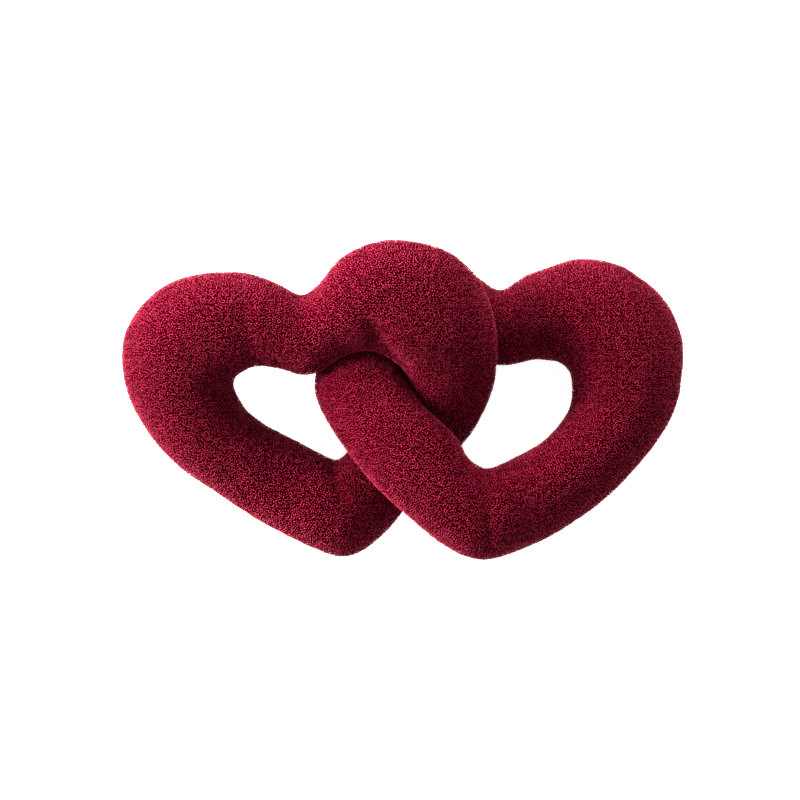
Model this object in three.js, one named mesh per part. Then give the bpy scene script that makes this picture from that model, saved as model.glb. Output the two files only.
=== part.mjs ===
// Linked double-heart cushion: two heart-shaped rings of stuffed tube, linked like two links of a
// chain and lying on their backs. Millimetres, +Z up. Looked at from above, X is to the right and Y
// is up. The origin is under the middle of the pair, on the surface that it lies on.
import * as THREE from 'three';

const pairWidth = 600;        // across both hearts, pile included
const tableWidth = 600;       // the width at which the tables below were measured
const roundness = 2.15;       // exponent of a rib's section: 2 is an ellipse, more is boxier
const pressEdge = 16;         // how gently the cloth turns in where the hearts press on each other
const floorEdge = 4;          // and where it lies on the floor
const restGap = 1.2;          // between the two hearts where they press on each other
const usualHalf = 48;         // half the thickness of the tube over most of its length
const stepsPerRib = 4;        // sections from one rib of the table to the next
const stepsAround = 26;       // points round a section
const probesPerRib = 14;      // sections used to find where the two hearts meet
const searchSteps = 22;       // halvings in the search for a contact

const boucle = { color: 0x7a1830, roughness: 0.95, metalness: 0 };

// A heart is a closed ring of ribs. A rib is an upright section of the tube, from the edge of the
// heart's hole to its outer rim as they are seen from above. Each row gives those two ends, the
// height of the rib's middle and half the tube's thickness there.
const ribColumns = ['holeX', 'holeY', 'rimX', 'rimY', 'middle', 'half'];

// The left heart, from its notch down the outer side to the tip and back up to the high lobe
const leftRibs = [
  [-106, 24, -106, 113, 95, 44],
  [-131, 33, -133, 124, 93, 46],
  [-154, 36, -170, 135, 89, 50],
  [-170, 30, -213, 135, 83, 57],
  [-179, 22, -259, 119, 74, 60],
  [-180, 12, -295, 78, 64, 62],
  [-177, 3, -300, 27, 57, 62],
  [-167, -11, -281, -24, 51, 58],
  [-148, -26, -243, -70, 46, 53],
  [-121, -40, -197, -102, 42, 49],
  [-96, -55, -150, -133, 41, 49],
  [-83, -61, -104, -156, 41, 49],
  [-72, -65, -60, -168, 41, 50],
  [-62, -58, -18, -140, 38, 45],
  [-44, -31, 27, -90, 38, 42],
  [-22, -3, 68, -44, 56, 45],
  [-9, 15, 94, 6, 75, 49],
  [-8, 28, 103, 57, 92, 52],
  [-16, 34, 91, 110, 104, 53],
  [-29, 42, 51, 155, 110, 53],
  [-47, 42, -11, 171, 109, 51],
  [-69, 35, -61, 155, 103, 48],
  [-89, 24, -86, 128, 98, 45],
];

// The right heart, from its notch down the outer side to the tip and back up to the low lobe
const rightRibs = [
  [107, 36, 104, 118, 46, 42],
  [125, 40, 125, 129, 43, 44],
  [147, 42, 152, 140, 46, 49],
  [165, 39, 189, 151, 50, 55],
  [177, 31, 234, 143, 53, 59],
  [182, 21, 275, 112, 55, 60],
  [182, 9, 297, 69, 55, 60],
  [180, -3, 300, 24, 54, 58],
  [176, -13, 287, -19, 55, 54],
  [165, -28, 255, -65, 60, 49],
  [147, -45, 213, -107, 67, 47],
  [124, -58, 168, -140, 76, 48],
  [104, -68, 123, -161, 85, 50],
  [91, -73, 84, -171, 92, 51],
  [74, -65, 48, -158, 98, 49],
  [57, -35, 7, -126, 102, 47],
  [38, -4, -36, -87, 100, 46],
  [27, 11, -68, -42, 93, 46],
  [22, 24, -90, -4, 83, 48],
  [19, 34, -97, 29, 73, 49],
  [20, 42, -97, 66, 58, 48],
  [27, 46, -70, 112, 44, 44],
  [40, 50, -13, 155, 38, 43],
  [59, 48, 37, 151, 38, 42],
  [83, 42, 74, 135, 42, 42],
];

// The soft folds where the tube bends: the rib that a fold lies at, the side of the section that it
// faces in degrees (0 the rim, 90 the top, 180 the hole), how deep it is (less than 0 for a
// ridge), its width along the tube in ribs, and how far it spreads round the section in degrees.
const foldColumns = ['rib', 'side', 'depth', 'width', 'spread'];
const leftFolds = [
  [2.6, 80, 2.5, 0.5, 60],
  [3.3, 85, -1.5, 0.6, 60],
  [10.2, 60, 2.5, 0.5, 50],
  [11.0, 70, -1.5, 0.5, 50],
  [12.0, 130, 3, 0.5, 55],
  [19.4, 130, 3, 0.5, 55],
];
const rightFolds = [
  [7.3, 140, 2, 0.5, 45],
  [13.2, 125, 3, 0.5, 60],
];

const scale = pairWidth / tableWidth;

function named(columns, rows) {
  return rows.map((row) => Object.fromEntries(columns.map((name, i) => [name, row[i]])));
}

// A smooth closed curve through one point for each rib
function curveThrough(ribs, point) {
  return new THREE.CatmullRomCurve3(ribs.map(point), true, 'catmullrom', 0.5);
}

// The ring of a heart: its hole's edge, its rim, and its height and thickness, each round the loop
function makeRing(ribRows, foldRows) {
  const ribs = named(ribColumns, ribRows);
  return {
    count: ribs.length,
    folds: named(foldColumns, foldRows),
    holeEdge: curveThrough(ribs, (r) => new THREE.Vector3(r.holeX, r.holeY, 0)),
    rim: curveThrough(ribs, (r) => new THREE.Vector3(r.rimX, r.rimY, 0)),
    build: curveThrough(ribs, (r) => new THREE.Vector3(r.middle, r.half, 0)),
  };
}

// The section at a place along the ring: its middle, its direction to the rim and its half sizes
function sectionAt(ring, part) {
  const hole = ring.holeEdge.getPoint(part).multiplyScalar(scale);
  const rim = ring.rim.getPoint(part).multiplyScalar(scale);
  const build = ring.build.getPoint(part).multiplyScalar(scale);
  const outward = rim.clone().sub(hole);
  const width = outward.length();
  return {
    middle: new THREE.Vector3((hole.x + rim.x) / 2, (hole.y + rim.y) / 2, build.x),
    outward: outward.divideScalar(width),
    halfWidth: width / 2,
    halfHeight: build.y,
  };
}

function sectionsOf(ring, perRib) {
  const total = ring.count * perRib;
  return Array.from({ length: total }, (_, i) => sectionAt(ring, i / total));
}

// How deep a point lies in a heart: 0 on the tube's middle line, 1 on its skin, more outside
function depthIn(sections, point) {
  let least = Infinity;
  for (const s of sections) {
    const x = point.x - s.middle.x;
    const y = point.y - s.middle.y;
    const z = point.z - s.middle.z;
    const out = (x * s.outward.x + y * s.outward.y) / s.halfWidth;
    const along = (y * s.outward.x - x * s.outward.y) / s.halfWidth;
    const up = z / s.halfHeight;
    least = Math.min(least, out * out + along * along + up * up);
  }
  return Math.sqrt(least);
}

// The smaller of two lengths, rounded off over an edge where they are nearly equal
function softLeast(a, b, edge) {
  if (a === Infinity || b === Infinity) {
    return Math.min(a, b);
  }
  const near = Math.max(edge - Math.abs(a - b), 0) / edge;
  return Math.min(a, b) - near * near * edge / 4;
}

// How much the folds draw the skin in at a place on the ring
function foldDepth(ring, rib, angle) {
  const side = THREE.MathUtils.radToDeg(angle);
  let depth = 0;
  for (const fold of ring.folds) {
    const along = (rib - fold.rib) / fold.width;
    const around = (((side - fold.side + 540) % 360) - 180) / fold.spread;
    depth += fold.depth * Math.exp(-(along * along) - around * around);
  }
  return depth;
}

// The free skin of a section in one direction: a rounded oval, less the folds
function freeReach(ring, section, rib, angle) {
  const across = Math.abs(Math.cos(angle)) / section.halfWidth;
  const up = Math.abs(Math.sin(angle)) / section.halfHeight;
  const oval = (across ** roundness + up ** roundness) ** (-1 / roundness);
  return oval - foldDepth(ring, rib, angle);
}

// The distance along a ray at which this heart meets the other one, found by halving
function contactReach(own, other, middle, direction, limit) {
  const margin = restGap / usualHalf;
  const point = new THREE.Vector3();
  const excess = (reach) => {
    point.copy(direction).multiplyScalar(reach).add(middle);
    return depthIn(own.probes, point) - depthIn(other.probes, point) + margin;
  };
  if (excess(limit) < 0) {
    return Infinity;
  }
  let inside = 0;
  let outside = limit;
  for (let i = 0; i < searchSteps; i += 1) {
    const half = (inside + outside) / 2;
    if (excess(half) < 0) {
      inside = half;
    } else {
      outside = half;
    }
  }
  return inside;
}

// The skin of a heart: in each direction from the tube's middle line it reaches to the rounded
// oval, to the floor or to the other heart, whichever comes first
function makeHeart(name, own, other) {
  const sections = sectionsOf(own.ring, stepsPerRib);
  const positions = [];
  sections.forEach((section, i) => {
    const rib = i / stepsPerRib;
    for (let j = 0; j < stepsAround; j += 1) {
      const angle = (j / stepsAround) * 2 * Math.PI;
      const direction = section.outward.clone().multiplyScalar(Math.cos(angle));
      direction.z = Math.sin(angle);
      const free = freeReach(own.ring, section, rib, angle);
      const floor = direction.z < 0 ? section.middle.z / -direction.z : Infinity;
      const limit = free + pressEdge;
      const contact = contactReach(own, other, section.middle, direction, limit);
      const reach = softLeast(softLeast(free, floor, floorEdge), contact, pressEdge);
      const point = direction.multiplyScalar(reach).add(section.middle);
      positions.push(point.x, point.y, Math.max(point.z, 0));
    }
  });
  const leftward = THREE.ShapeUtils.area(own.ring.rim.getPoints(own.ring.count)) > 0;
  const faces = [];
  for (let i = 0; i < sections.length; i += 1) {
    for (let j = 0; j < stepsAround; j += 1) {
      const here = i * stepsAround + j;
      const around = i * stepsAround + ((j + 1) % stepsAround);
      const ahead = ((i + 1) % sections.length) * stepsAround;
      const next = ahead + j;
      const corner = ahead + ((j + 1) % stepsAround);
      if (leftward) {
        faces.push(here, corner, around, here, next, corner);
      } else {
        faces.push(here, around, corner, here, corner, next);
      }
    }
  }
  const geometry = new THREE.BufferGeometry();
  geometry.setAttribute('position', new THREE.Float32BufferAttribute(positions, 3));
  geometry.setIndex(faces);
  const mesh = new THREE.Mesh(geometry, new THREE.MeshStandardMaterial(boucle));
  mesh.name = name;
  return mesh;
}

function makeHalf(ribRows, foldRows) {
  const ring = makeRing(ribRows, foldRows);
  return { ring, probes: sectionsOf(ring, probesPerRib) };
}

const left = makeHalf(leftRibs, leftFolds);
const right = makeHalf(rightRibs, rightFolds);

const group = new THREE.Group();
group.add(makeHeart('heart_left', left, right));
group.add(makeHeart('heart_right', right, left));

export default group;
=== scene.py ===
# Linked double-heart cushion: two stuffed heart rings in burgundy boucle, lying on their backs.
# Metres, +Z up, the camera straight above the pair.
import math

import bpy
import numpy as np
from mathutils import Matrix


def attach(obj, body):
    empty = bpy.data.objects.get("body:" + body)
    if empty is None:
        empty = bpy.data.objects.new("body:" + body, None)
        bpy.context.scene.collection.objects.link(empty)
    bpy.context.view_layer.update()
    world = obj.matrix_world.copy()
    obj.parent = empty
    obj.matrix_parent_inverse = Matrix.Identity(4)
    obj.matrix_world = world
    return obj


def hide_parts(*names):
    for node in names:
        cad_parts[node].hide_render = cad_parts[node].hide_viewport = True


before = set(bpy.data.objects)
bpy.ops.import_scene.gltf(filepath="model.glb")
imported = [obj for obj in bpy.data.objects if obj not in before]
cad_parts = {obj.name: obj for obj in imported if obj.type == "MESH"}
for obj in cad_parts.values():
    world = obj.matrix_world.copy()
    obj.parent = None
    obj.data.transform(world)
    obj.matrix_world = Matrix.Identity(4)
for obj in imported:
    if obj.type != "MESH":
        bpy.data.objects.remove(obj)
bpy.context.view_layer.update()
mm = 0.001


def toLinear(hexColour):
    # sRGB hex to linear RGB, with alpha 1: the standard curve, one value at a time
    values = [int(hexColour[i:i + 2], 16) / 255 for i in (1, 3, 5)]
    linear = [v / 12.92 if v <= 0.04045 else ((v + 0.055) / 1.055) ** 2.4 for v in values]
    return (*linear, 1.0)


def addNode(tree, kind, sockets=None, **settings):
    # adds a node, sets its properties or sockets by name, and gives other sockets, by name or number, a
    # value or a link from another node's output
    node = tree.nodes.new(kind)
    for name, value in settings.items():
        if hasattr(node, name):
            setattr(node, name, value)
        else:
            node.inputs[name.replace("_", " ")].default_value = value
    for socket, source in (sockets or {}).items():
        if isinstance(source, bpy.types.NodeSocket):
            tree.links.new(source, node.inputs[socket])
        else:
            node.inputs[socket].default_value = source
    return node


def readPoints(mesh):
    # where the mesh's points are, a row each
    points = np.empty(len(mesh.vertices) * 3, np.float32)
    mesh.vertices.foreach_get("co", points)
    return points.reshape(-1, 3).astype(float)


def writePoints(mesh, points):
    # moves the mesh's points to new places
    mesh.vertices.foreach_set("co", points.astype(np.float32).ravel())
    mesh.update()


def readNormals(mesh):
    # the way that the surface faces at each point
    normals = np.empty(len(mesh.vertices) * 3, np.float32)
    mesh.vertex_normals.foreach_get("vector", normals)
    return normals.reshape(-1, 3).astype(float)


def readValues(mesh, name, key="value", width=1):
    # what is stored with each point under a name, a row each
    values = np.empty(len(mesh.vertices) * width, np.float32)
    mesh.attributes[name].data.foreach_get(key, values)
    return values.reshape(-1, width).astype(float)


def unit(vectors):
    # each vector divided by its own length
    return vectors / np.maximum(np.linalg.norm(vectors, axis=-1, keepdims=True), 1e-9)


def smoothStep(values, low, high):
    # 0 up to low, 1 from high on, and 3t^2 - 2t^3 between them
    t = np.clip((values - low) / (high - low), 0, 1)
    return t * t * (3 - 2 * t)


def meshOf(piece):
    # the mesh that the piece's modifiers give
    return bpy.data.meshes.new_from_object(piece.evaluated_get(bpy.context.evaluated_depsgraph_get()))


def applyModifiers(piece):
    # gives the piece the mesh that its modifiers make, and drops them
    mesh = meshOf(piece)
    piece.modifiers.clear()
    piece.data = mesh


def newPiece(name, data):
    # an object in the scene, at the origin, for a mesh, a lamp or a camera
    piece = bpy.data.objects.new(name, data)
    bpy.context.scene.collection.objects.link(piece)
    return piece


def geometryTree(name):
    # an empty geometry node tree, and the socket that the piece's mesh comes in at
    tree = bpy.data.node_groups.new(name, "GeometryNodeTree")
    tree.interface.new_socket("Geometry", in_out="INPUT", socket_type="NodeSocketGeometry")
    tree.interface.new_socket("Geometry", in_out="OUTPUT", socket_type="NodeSocketGeometry")
    return tree, addNode(tree, "NodeGroupInput").outputs[0]


def runTree(piece, tree, result):
    # the mesh that the tree makes of the piece, which stays as it was
    addNode(tree, "NodeGroupOutput", {0: result})
    piece.modifiers.new("Nodes", "NODES").node_group = tree
    mesh = meshOf(piece)
    piece.modifiers.clear()
    return mesh


def gapSocket(tree, other):
    # the distance to the nearest place on the other piece's skin
    skin = addNode(tree, "GeometryNodeObjectInfo", Object=other)
    return addNode(tree, "GeometryNodeProximity", {0: skin.outputs["Geometry"]}).outputs["Distance"]


def gapTo(piece, other):
    # each point's distance to the nearest place on the other piece's skin
    tree, start = geometryTree("gap")
    kept = addNode(tree, "GeometryNodeStoreNamedAttribute",
                   {"Geometry": start, "Value": gapSocket(tree, other)}, data_type="FLOAT", Name="gap")
    return readValues(runTree(piece, tree, kept.outputs[0]), "gap")


# The cover: the cloth itself, under the pile, filled and puffed up
cover = {
    "weld": 0.05 * mm,          # points of the solid nearer than this are one
    "inset": 1.2 * mm,          # the cover lies this far inside the solid's skin
    "leastInset": 0.6 * mm,     # and no less than this where the filling swells most
    "pressedInset": 0.1 * mm,   # and this far where the hearts press on each other
    "pressedGap": 1.5 * mm,     # hearts this near each other press
    "freeGap": 8.0 * mm,        # and this far apart they don't
    "voxel": 6.0 * mm,
    "evenFactor": 0.5,          # how far each step evens out the voxels' corners
    "evenSteps": 3,
    "startSmaller": 0.6 * mm,   # it starts this much smaller, and swells
    "pressure": 4.0,
    "weight": 0.3,              # of each point of the cloth, in kilograms
    "stretch": 15,              # how stiff the cloth is against stretching and shrinking
    "bending": 0.5,             # and against bending
    "quality": 5,               # steps in a frame
    "frames": 20,
    "cap": 5.0 * mm,            # the furthest that a point may move
    "lumps": 0.8 * mm,          # how uneven the filling is, out and in
    "lumpSize": 16 * mm,
    "top": (0.0, 0.6),          # folds come in where the normal's height goes from the first to the second
    "flank": (0.2, 0.8),        # and fuller sides where its level part does
}

# The soft folds and the full ridges beside them, in millimetres: the points of each seen from above,
# how deep it is (less than 0 for a ridge) and how wide
folds = {
    "left": [
        ([(-170, 128), (-166, 87), (-163, 60)], 1.4, 10),     # down the left lobe
        ([(-150, 122), (-148, 66)], -0.9, 10),
        ([(-181, 15), (-251, -8)], 1.8, 8),                   # from the hole to the outer side
        ([(-187, -75), (-160, -104)], 2.4, 9),                # across the lower arm
        ([(-176, -58), (-163, -72)], -1.8, 12),
        ([(-77, -70), (-63, -104)], 3.0, 7),                  # the mitre at the tip
        ([(-64, -80), (-55, -110)], -1.4, 9),
        ([(-8, 37), (-24, 62), (-39, 85)], 3.2, 8),           # the inner bend of the high lobe
        ([(-14, 88), (0, 53), (37, 3)], -2.2, 11),
        ([(-126, 26), (-106, 22), (-88, 25)], 4.0, 15),       # the hole's upper edge
        ([(-84, 34), (-56, 47), (-35, 49), (-12, 42), (2, 32)], 3.6, 13),   # and over the crossing
    ],
    "right": [
        ([(91, -75), (90, -115), (88, -153)], 3.2, 7),        # the mitre at the tip
        ([(102, -85), (99, -140)], -1.6, 9),
        ([(184, -4), (200, 10)], 2.6, 9),                     # the bend at the hole's far end
        ([(-38, -2), (-38, -35)], 1.2, 7),                    # down the upper arm
        ([(-53, 30), (-30, 33), (-11, 21), (8, -5), (29, -27), (49, -49)], -3.2, 10),   # by the crossing
    ],
}

# Where the sides of the tube are fuller, in millimetres: the points of each place seen from above, how
# far out the side comes (less than 0 for in) and how far the change spreads
fullness = {
    "left": [
        ([(-133, 126), (-168, 136)], 2.0, 22),                # the left lobe's top
        ([(52, 157), (80, 128)], 2.0, 25),                    # the high lobe's top
        ([(-58, -170), (-16, -142)], 2.6, 20),                # the tip
        ([(94, 6), (76, -34)], 1.6, 18),                      # the high lobe in the right heart's hole
        ([(-165, -12), (-121, -41)], -1.6, 12),               # the hole's lower edge
        ([(-165, 32), (-140, 30)], 1.2, 10),                  # and its upper edge
        ([(9, 28), (7, 16)], 1.2, 7),                         # where it leans on the other arm
    ],
    "right": [
        ([(74, 137), (104, 120), (130, 132)], 3.2, 18),       # the notch
        ([(150, 142), (234, 144)], 1.8, 22),                  # the lobe's top
        ([(276, 112), (298, 69)], 2.6, 25),                   # and its right side
        ([(287, -20), (214, -108)], 1.8, 25),                 # the lower arm
        ([(83, 42), (107, 36), (125, 40)], 2.0, 12),          # the hole's upper edge
        ([(168, 39), (176, 32)], -2.0, 9),                    # and its far end
        ([(-97, 29), (-90, -4), (-68, -42)], 1.4, 18),        # the upper arm in the left heart's hole
        ([(68, -56), (73, -63)], -2.0, 7),                    # the bend under the high lobe
        ([(3, 28), (3, 16)], 0.8, 7),                         # where it leans on the high lobe
    ],
}


def copyOfSolid(name, node):
    # the CAD solid's skin, welded and rounded, as a new piece
    piece = newPiece(name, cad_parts[node].data.copy())
    piece.data.materials.clear()
    piece.modifiers.new("Weld", "WELD").merge_threshold = cover["weld"]
    rounding = piece.modifiers.new("Round", "SUBSURF")
    rounding.levels = rounding.render_levels = 1
    applyModifiers(piece)
    return piece


def coverLimit(name, skin, otherSkin, inset):
    # the shape that the cover may fill: the skin drawn in by the inset, and by less where the other
    # heart is near: pressedInset + (inset - pressedInset) * free, with free from 0 to 1
    free = smoothStep(gapTo(skin, otherSkin), cover["pressedGap"], cover["freeGap"])
    depth = cover["pressedInset"] + (inset - cover["pressedInset"]) * free
    limit = newPiece(name, skin.data.copy())
    writePoints(limit.data, readPoints(skin.data) - readNormals(skin.data) * depth)
    return limit


def segmentGap(places, start, end):
    # distance in plan from each place to the segment from start to end, where part is how far along
    # it the nearest place is, from 0 to 1
    along = end - start
    part = np.clip(((places - start) @ along) / (along @ along), 0, 1)
    return np.linalg.norm(places - start - part[:, None] * along, axis=1)


def pathGap(points, places):
    # distance in plan from each point to the path through the places, which are in millimetres
    path = np.array(places) * mm
    return np.min([segmentGap(points[:, :2], a, b) for a, b in zip(path[:-1], path[1:])], axis=0)


def foldIn(piece, rows):
    # lowers the upper side by depth * exp(-(gap / width)^2), where gap is the distance to the fold
    points, normals = readPoints(piece.data), readNormals(piece.data)
    upward = smoothStep(normals[:, 2], *cover["top"])
    sink = np.zeros(len(points))
    for places, depth, width in rows:
        sink += depth * mm * np.exp(-(pathGap(points, places) / (width * mm)) ** 2)
    writePoints(piece.data, points - normals * (sink * upward)[:, None])


def fillOut(piece, rows):
    # moves the sides outward, level with the floor, by reach * exp(-(gap / width)^2)
    points, normals = readPoints(piece.data), readNormals(piece.data)
    level = normals * (1, 1, 0)
    sideways = smoothStep(np.linalg.norm(level, axis=1), *cover["flank"])
    push = np.zeros(len(points))
    for places, reach, width in rows:
        push += reach * mm * np.exp(-(pathGap(points, places) / (width * mm)) ** 2)
    writePoints(piece.data, points + unit(level) * (push * sideways)[:, None])


def puffUp(piece):
    # Blender's cloth, blown up from inside with gravity off; a point's move is cut to the cap, as
    # move * min(1, cap / length of the move)
    rest = readPoints(piece.data)
    filling = piece.modifiers.new("Filling", "CLOTH")
    settings = filling.settings
    settings.quality = cover["quality"]
    settings.mass = cover["weight"]
    settings.tension_stiffness = cover["stretch"]
    settings.compression_stiffness = cover["stretch"]
    settings.bending_stiffness = cover["bending"]
    settings.use_pressure = True
    settings.uniform_pressure_force = cover["pressure"]
    settings.effector_weights.gravity = 0
    filling.collision_settings.use_collision = False
    filling.point_cache.frame_end = cover["frames"]
    for step in range(1, cover["frames"] + 1):
        bpy.context.scene.frame_set(step)
    move = readPoints(meshOf(piece)) - rest
    piece.modifiers.clear()
    bpy.context.scene.frame_set(1)
    far = np.linalg.norm(move, axis=1, keepdims=True)
    outward = (move * readNormals(piece.data)).sum(1) / mm
    print("swelling:", np.percentile(outward, [1, 25, 50, 75, 99]).round(2), "mm")
    writePoints(piece.data, rest + move * np.minimum(1, cover["cap"] / np.maximum(far, 1e-9)))


def wrapped(piece, target, mode):
    # where the piece's points go when they are drawn onto the target, or only kept inside it
    hold = piece.modifiers.new("Hold", "SHRINKWRAP")
    hold.target = target
    hold.wrap_mode = mode
    points = readPoints(meshOf(piece))
    piece.modifiers.clear()
    return points


def makeCover(side, limit, bound, otherSkin, quick):
    # an even mesh in the limit's shape, puffed up within the bound but flat on the limit where the
    # hearts press, with lumps and folds
    piece = newPiece(f"cover_{side}", limit.data.copy())
    if not quick:
        writePoints(piece.data, readPoints(limit.data) - readNormals(limit.data) * cover["startSmaller"])
    remesh = piece.modifiers.new("Remesh", "REMESH")
    remesh.mode = "VOXEL"
    remesh.voxel_size = cover["voxel"]
    evenOut = piece.modifiers.new("Even", "SMOOTH")
    evenOut.factor = cover["evenFactor"]
    evenOut.iterations = cover["evenSteps"]
    applyModifiers(piece)
    if not quick:
        puffUp(piece)
    flat = wrapped(piece, limit, "ON_SURFACE")
    puffed = flat if quick else wrapped(piece, bound, "INSIDE")
    free = smoothStep(gapTo(piece, otherSkin), cover["pressedGap"], cover["freeGap"])
    writePoints(piece.data, flat + (puffed - flat) * free)
    lumps = piece.modifiers.new("Lumps", "DISPLACE")
    lumps.texture = bpy.data.textures.new("filling", "CLOUDS")
    lumps.texture.noise_scale = cover["lumpSize"]
    lumps.texture_coords = "GLOBAL"
    lumps.strength = cover["lumps"] * 2     # half of it out and half of it in
    rounding = piece.modifiers.new("Round", "SUBSURF")
    rounding.levels = rounding.render_levels = 1
    applyModifiers(piece)
    foldIn(piece, folds[side])
    fillOut(piece, fullness[side])
    piece.data.polygons.foreach_set("use_smooth", np.ones(len(piece.data.polygons), bool))
    return piece


# The pile: short looped curls, standing side by side on the cover
pile = {
    "spacing": 2.1 * mm,      # least distance between two curls
    "tries": 1400000,         # candidates for a square metre
    "under": 0.5,             # how much of that is left underneath
    "underside": (-0.65, -0.35),    # the normal's height, from underneath to not underneath
    "length": 2.4 * mm,
    "lengthSpread": (0.7, 1.25),    # a curl's own share of it, at least and at most
    "rise": 3.2 * mm,
    "riseSpread": (0.8, 1.1),
    "bow": 0.9 * mm,          # how far a curl bends sideways
    "bowSpread": (-1.3, 1.3),
    "thick": 0.56 * mm,       # half its thickness
    "thickSpread": (0.85, 1.15),
    "rings": (0.28, 0.72),    # places of the rings along a curl, and the sides of each
    "sides": 3,
    "sink": 0.6 * mm,         # its ends start this far inside the cover
    "hidden": 2.2 * mm,       # no curl where the other heart's cover is nearer than this
    "cleft": (4.5 * mm, 24 * mm),   # seen from above, where one looks straight down between the hearts
    "cleftReach": 15 * mm,
    "cleftHidden": 0.9 * mm,  # so curls stand nearer each other here
    "cleftShare": {"left": 0.86, "right": 0.14},   # and the left heart's reach across the gap
    "clear": 0.1 * mm,        # what each heart's curls keep clear of their share of the gap
    "leastStand": 0.05,       # curls lie as flat as this where the hearts press
    "parts": 3,               # pieces for each heart
}


def scatterRoots(piece, other, seed):
    # evenly spread points on the cover, no two nearer than the spacing and fewer underneath, each
    # with its normal and its distance to the other heart
    tree, start = geometryTree("pileRoots")
    facing = addNode(tree, "GeometryNodeInputNormal")
    height = addNode(tree, "ShaderNodeSeparateXYZ", {0: facing.outputs["Normal"]})
    share = addNode(tree, "ShaderNodeMapRange", {"Value": height.outputs["Z"]},
                    From_Min=pile["underside"][0], From_Max=pile["underside"][1],
                    To_Min=pile["under"], To_Max=1.0)
    spread = addNode(tree, "GeometryNodeDistributePointsOnFaces",
                     {"Mesh": start, "Density Factor": share.outputs["Result"]},
                     distribute_method="POISSON", Distance_Min=pile["spacing"],
                     Density_Max=pile["tries"], Seed=seed)
    faced = addNode(tree, "GeometryNodeStoreNamedAttribute",
                    {"Geometry": spread.outputs["Points"], "Value": spread.outputs["Normal"]},
                    data_type="FLOAT_VECTOR", Name="facing")
    gapped = addNode(tree, "GeometryNodeStoreNamedAttribute",
                     {"Geometry": faced.outputs[0], "Value": gapSocket(tree, other)},
                     data_type="FLOAT", Name="gap")
    roots = addNode(tree, "GeometryNodePointsToVertices", {0: gapped.outputs[0]})
    mesh = runTree(piece, tree, roots.outputs[0])
    return readPoints(mesh), unit(readValues(mesh, "facing", "vector", 3)), readValues(mesh, "gap")[:, 0]


def curlPoints(roots, normals, stand, draw):
    # a curl is a spindle along an arch: forward by length * (s - 1/2), up by rise * sin(pi s) - sink,
    # sideways by bow * (sin(pi s) - 1/2); its half thickness is thick * sqrt(sin(pi s)), nothing at
    # both ends, and it is rounded by three sides. A point's tip value is sin(pi s).
    count = len(roots)
    along = unit(np.cross(normals, unit(draw.normal(size=(count, 3)))))
    sideways = np.cross(normals, along)
    length = pile["length"] * draw.uniform(*pile["lengthSpread"], count)
    rise = pile["rise"] * draw.uniform(*pile["riseSpread"], count) * stand
    bow = pile["bow"] * draw.uniform(*pile["bowSpread"], count)
    thick = pile["thick"] * draw.uniform(*pile["thickSpread"], count)
    sides = pile["sides"]
    ringPlaces = np.array(pile["rings"])
    places = np.concatenate([[0.0], ringPlaces, [1.0]])
    arch = np.sin(np.pi * places)
    slope = np.pi * np.cos(np.pi * places)

    def mix(forward, side, up):
        # forward, side and up added together in the curl's own directions
        return (forward[:, :, None] * along[:, None] + side[:, :, None] * sideways[:, None]
                + up[:, :, None] * normals[:, None])

    middle = roots[:, None] + mix(length[:, None] * (places - 0.5), bow[:, None] * (arch - 0.5),
                                  rise[:, None] * arch - pile["sink"])
    heading = unit(mix(length[:, None] * np.ones(len(places)), bow[:, None] * slope, rise[:, None] * slope))
    across = unit(np.cross(heading, normals[:, None]))
    upward = np.cross(across, heading)
    turn = np.arange(sides) * 2 * np.pi / sides + np.pi / 2
    half = thick[:, None] * np.sqrt(np.sin(np.pi * ringPlaces))
    rings = middle[:, 1:-1, None] + half[:, :, None, None] * (
        across[:, 1:-1, None] * np.cos(turn)[:, None] + upward[:, 1:-1, None] * np.sin(turn)[:, None])
    points = np.concatenate([middle[:, :1], rings.reshape(count, -1, 3), middle[:, -1:]], axis=1)
    # the tip value sets how far a curl's colour darkens towards its ends: painted shade of the gaps between
    # curls
    tip = np.concatenate([[0.0], np.repeat(arch[1:-1], sides), [0.0]])
    return points, np.tile(tip, (count, 1))


def curlFaces():
    # triangles of one curl, facing outwards: a fan at each end and quads, cut in two, between the rings
    faces = []
    sides = pile["sides"]
    ringCount = len(pile["rings"])
    last = 1 + ringCount * sides
    for side in range(sides):
        after = (side + 1) % sides
        faces.append((0, 1 + side, 1 + after))
        for ring in range(ringCount - 1):
            here = 1 + ring * sides
            there = here + sides
            faces.append((here + side, there + after, here + after))
            faces.append((here + side, there + side, there + after))
        end = 1 + (ringCount - 1) * sides
        faces.append((end + side, last, end + after))
    return np.array(faces)


def meshPiece(name, points, triangles, values):
    # a smooth mesh of triangles, with a value of each kind at every point
    mesh = bpy.data.meshes.new(name)
    mesh.vertices.add(len(points))
    mesh.vertices.foreach_set("co", points.astype(np.float32).ravel())
    mesh.loops.add(triangles.size)
    mesh.loops.foreach_set("vertex_index", triangles.astype(np.int32).ravel())
    mesh.polygons.add(len(triangles))
    mesh.polygons.foreach_set("loop_start", np.arange(0, triangles.size, 3, dtype=np.int32))
    mesh.polygons.foreach_set("use_smooth", np.ones(len(triangles), bool))
    for key, numbers in values.items():
        mesh.attributes.new(key, "FLOAT", "POINT").data.foreach_set(
            "value", numbers.astype(np.float32).ravel())
    mesh.update()
    mesh.validate()
    return newPiece(name, mesh)


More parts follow.
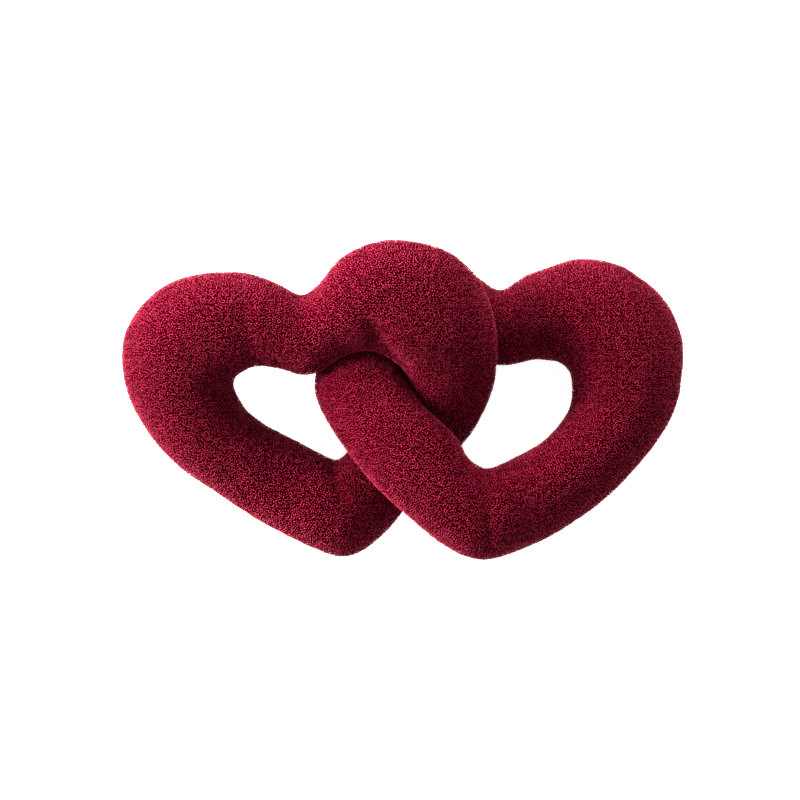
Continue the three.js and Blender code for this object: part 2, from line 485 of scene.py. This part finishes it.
def makePile(side, piece, other, seed):
    # the heart's curls, shared out by direction from its middle; near the other heart each stands only
    # as high as its share of the gap, less what it keeps clear, leaves it
    draw = np.random.default_rng(seed)
    roots, normals, gaps = scatterRoots(piece, other, seed)
    inCleft = np.linalg.norm(roots[:, :2] - pile["cleft"], axis=1) < pile["cleftReach"]
    seen = gaps > np.where(inCleft, pile["cleftHidden"], pile["hidden"])
    roots, normals, gaps = roots[seen], normals[seen], gaps[seen]
    share = np.where(inCleft[seen], pile["cleftShare"][side], 0.5)
    free = gaps * share - pile["clear"] + pile["sink"] - pile["thick"]
    stand = np.clip(free / (pile["riseSpread"][1] * pile["rise"]), pile["leastStand"], 1)
    points, tips = curlPoints(roots, normals, stand, draw)
    points[..., 2] = np.maximum(points[..., 2], 0.0)
    # each curl's random tone between dark and pale: painted light and shade, as of curls that catch
    # different amounts of light
    shades = np.repeat(draw.uniform(0, 1, len(roots))[:, None], points.shape[1], axis=1)
    middle = roots.mean(0)
    order = np.argsort(np.arctan2(roots[:, 1] - middle[1], roots[:, 0] - middle[0]))
    oneCurl = curlFaces()
    pieces = []
    for number, picked in enumerate(np.array_split(order, pile["parts"])):
        block = points[picked]
        offsets = np.arange(len(picked))[:, None, None] * block.shape[1]
        pieces.append(meshPiece(
            f"pile_{side}_{number + 1}", block.reshape(-1, 3), (oneCurl + offsets).reshape(-1, 3),
            {"tip": tips[picked], "shade": shades[picked]}))
    print("pile", side, len(roots), "curls,", len(roots) * len(oneCurl), "triangles")
    return pieces


# Boucle: soft spun yarn, dyed burgundy and looped into short curls on a knitted ground. It is crimson at
# the tips, matt, with a faint bloom of loose fibre; the nearly black red in the roots and the dark ground
# are painted shade, where the curls shade each other, and each curl's own tone between dark and pale is
# painted light and shade at random.
cloth = {
    # the roots: near black red, painted shade where the curls shade each other
    "root": "#280008",
    # the ground: dark, painted shade of the curls standing over it
    "ground": "#480010",
    "pale": "#DA3458",          # the lightest curl and the darkest one; the spread between them is painted light and shade
    "dark": "#800E26",
    "roughness": 0.5,
    "gloss": 0.1,
    "bloom": 0.08,              # loose fibre that lights up where the yarn is seen edge on
    "bloomSpread": 0.4,
    "bloomColour": "#FF2858",
    "groundRoughness": 0.95,
    "stitch": 2.857 * mm,       # across a stitch of the ground
    "stitchDepth": 1.0 * mm,
    "stitchStrength": 0.6,
}


# A colour blend's sockets, by number: its two colours and its result
firstColour, secondColour, blended = 6, 7, 2


def newMaterial(name):
    # a node material with no nodes in it yet
    material = bpy.data.materials.new(name)
    material.use_nodes = True
    material.node_tree.nodes.clear()
    return material


def boucleYarn():
    # the curls: each takes its own random tone between dark and pale, painted light and shade, and darkens
    # to its roots, painted shade of the gaps between curls
    material = newMaterial("boucleYarn")
    tree = material.node_tree
    tip = addNode(tree, "ShaderNodeAttribute", attribute_name="tip")
    shade = addNode(tree, "ShaderNodeAttribute", attribute_name="shade")
    # painted light and shade: each curl lighter or darker at random
    yarn = addNode(tree, "ShaderNodeMix",
                   {"Factor": shade.outputs["Fac"], firstColour: toLinear(cloth["dark"]),
                    secondColour: toLinear(cloth["pale"])}, data_type="RGBA")
    # painted shade: darker towards the roots, by the tip value
    colour = addNode(tree, "ShaderNodeMix",
                     {"Factor": tip.outputs["Fac"], firstColour: toLinear(cloth["root"]),
                      secondColour: yarn.outputs[blended]}, data_type="RGBA")
    shader = addNode(tree, "ShaderNodeBsdfPrincipled", {"Base Color": colour.outputs[blended]},
                     Roughness=cloth["roughness"], Specular_IOR_Level=cloth["gloss"],
                     Sheen_Weight=cloth["bloom"], Sheen_Roughness=cloth["bloomSpread"],
                     Sheen_Tint=toLinear(cloth["bloomColour"]))
    addNode(tree, "ShaderNodeOutputMaterial", {"Surface": shader.outputs[0]})
    return material


def boucleGround():
    # the knitted ground under the curls: dull and slightly uneven, and dark with painted shade where the
    # curls shade it
    material = newMaterial("boucleGround")
    tree = material.node_tree
    place = addNode(tree, "ShaderNodeTexCoord")
    knit = addNode(tree, "ShaderNodeTexNoise", {"Vector": place.outputs["Object"]},
                   Scale=1 / cloth["stitch"])
    # painted shade: the ground's colour runs between the dark roots and the ground colour, unevenly with
    # the knit
    colour = addNode(tree, "ShaderNodeMix",
                     {"Factor": knit.outputs["Fac"], firstColour: toLinear(cloth["root"]),
                      secondColour: toLinear(cloth["ground"])}, data_type="RGBA")
    bump = addNode(tree, "ShaderNodeBump", {"Height": knit.outputs["Fac"]},
                   Strength=cloth["stitchStrength"], Distance=cloth["stitchDepth"])
    shader = addNode(tree, "ShaderNodeBsdfPrincipled",
                     {"Base Color": colour.outputs[blended], "Normal": bump.outputs["Normal"]},
                     Roughness=cloth["groundRoughness"], Specular_IOR_Level=0.0)
    addNode(tree, "ShaderNodeOutputMaterial", {"Surface": shader.outputs[0]})
    return material


# Room: a pale floor, a camera straight above, soft light from the sky and from two low lamps, beyond
# the lobes and to the left
room = {
    "photoSize": 800,              # pixels across the frame
    "pixel": 1.0676 * mm,          # what one of them spans at the tubes' middle height
    "middleHeight": 66 * mm,
    "cameraHeight": 4.0,
    "cameraX": -2.7 * mm,
    "cameraY": -0.5 * mm,
    "clipEnd": 50,
    "floor": "#FAFAFA",
    "floorSize": 12,
    "floorRoughness": 0.9,
    "glow": 0.86,                  # the floor is a lit table, so no shadow shows on it
    "sky": 0.64,
    "lampAway": 3.5,
    "lampSize": 1.8,
    "lamps": [("topLight", 90, 15, 265), ("leftLight", 165, 15, 600)],   # azimuth, elevation, power
}


def addLamp(name, azimuth, elevation, power):
    # a square area light aimed at the middle of the pair: its place is away * (cos e cos a,
    # cos e sin a, sin e) for azimuth a and elevation e
    lamp = newPiece(name, bpy.data.lights.new(name, "AREA"))
    lamp.data.size = room["lampSize"]
    lamp.data.energy = power
    turn, lift = math.radians(azimuth), math.radians(elevation)
    lamp.location = (room["lampAway"] * math.cos(lift) * math.cos(turn),
                     room["lampAway"] * math.cos(lift) * math.sin(turn),
                     room["lampAway"] * math.sin(lift))
    lamp.rotation_euler = (math.pi / 2 - lift, 0, turn + math.pi / 2)


def paleFloor():
    # the lit table's top: matt white that glows evenly
    material = newMaterial("paleFloor")
    paint = addNode(material.node_tree, "ShaderNodeBsdfPrincipled",
                    Base_Color=toLinear(room["floor"]), Roughness=room["floorRoughness"],
                    Emission_Color=(1, 1, 1, 1), Emission_Strength=room["glow"])
    addNode(material.node_tree, "ShaderNodeOutputMaterial", {"Surface": paint.outputs[0]})
    return material


def layFloor():
    # a wide level square, the surface that the pair lies on
    bpy.ops.mesh.primitive_plane_add(size=room["floorSize"])
    floor = bpy.context.object
    floor.name = "floor"
    floor.data.materials.append(paleFloor())


def setCamera():
    # looks straight down; its angle is 2 * atan(half of the frame's width / distance to the tubes)
    camera = newPiece("camera", bpy.data.cameras.new("camera"))
    camera.location = (room["cameraX"], room["cameraY"], room["cameraHeight"])
    frameWidth = room["photoSize"] * room["pixel"]
    reach = room["cameraHeight"] - room["middleHeight"]
    camera.data.angle = 2 * math.atan(frameWidth / 2 / reach)
    camera.data.clip_end = room["clipEnd"]
    bpy.context.scene.camera = camera


def setSky():
    # even white light from all round
    world = bpy.data.worlds.new("studio")
    world.use_nodes = True
    sky = world.node_tree.nodes["Background"]
    sky.inputs["Color"].default_value = (1, 1, 1, 1)
    sky.inputs["Strength"].default_value = room["sky"]
    bpy.context.scene.world = world


layFloor()
setCamera()
for row in room["lamps"]:
    addLamp(*row)
setSky()
bpy.context.scene.view_settings.view_transform = "Standard"
print("room ready")

# The two hearts: the solid that each stands on, the other heart and the seed of its pile
hearts = {
    "left": {"node": "heart_left", "other": "right", "seed": 11},
    "right": {"node": "heart_right", "other": "left", "seed": 23},
}
yarn = boucleYarn()
ground = boucleGround()
skins = {side: copyOfSolid(f"skin_{side}", heart["node"]) for side, heart in hearts.items()}
otherSkins = {side: skins[heart["other"]] for side, heart in hearts.items()}
limits = {side: coverLimit(f"limit_{side}", skins[side], otherSkins[side], cover["inset"])
          for side in hearts}
bounds = {side: coverLimit(f"bound_{side}", skins[side], otherSkins[side], cover["leastInset"])
          for side in hearts}
covers = {side: makeCover(side, limits[side], bounds[side], otherSkins[side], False)
          for side in hearts}
for piece in (*skins.values(), *limits.values(), *bounds.values()):
    bpy.data.objects.remove(piece)
print("covers clear by", round(float(gapTo(covers["left"], covers["right"]).min()) / mm, 2), "mm")
for side, heart in hearts.items():
    piece, node = covers[side], heart["node"]
    print("cover", side, len(piece.data.polygons), "faces")
    piece.data.materials.append(ground)
    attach(piece, "root")
    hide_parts(node)
    for part in makePile(side, piece, covers[heart["other"]], heart["seed"]):
        part.data.materials.append(yarn)
        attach(part, "root")
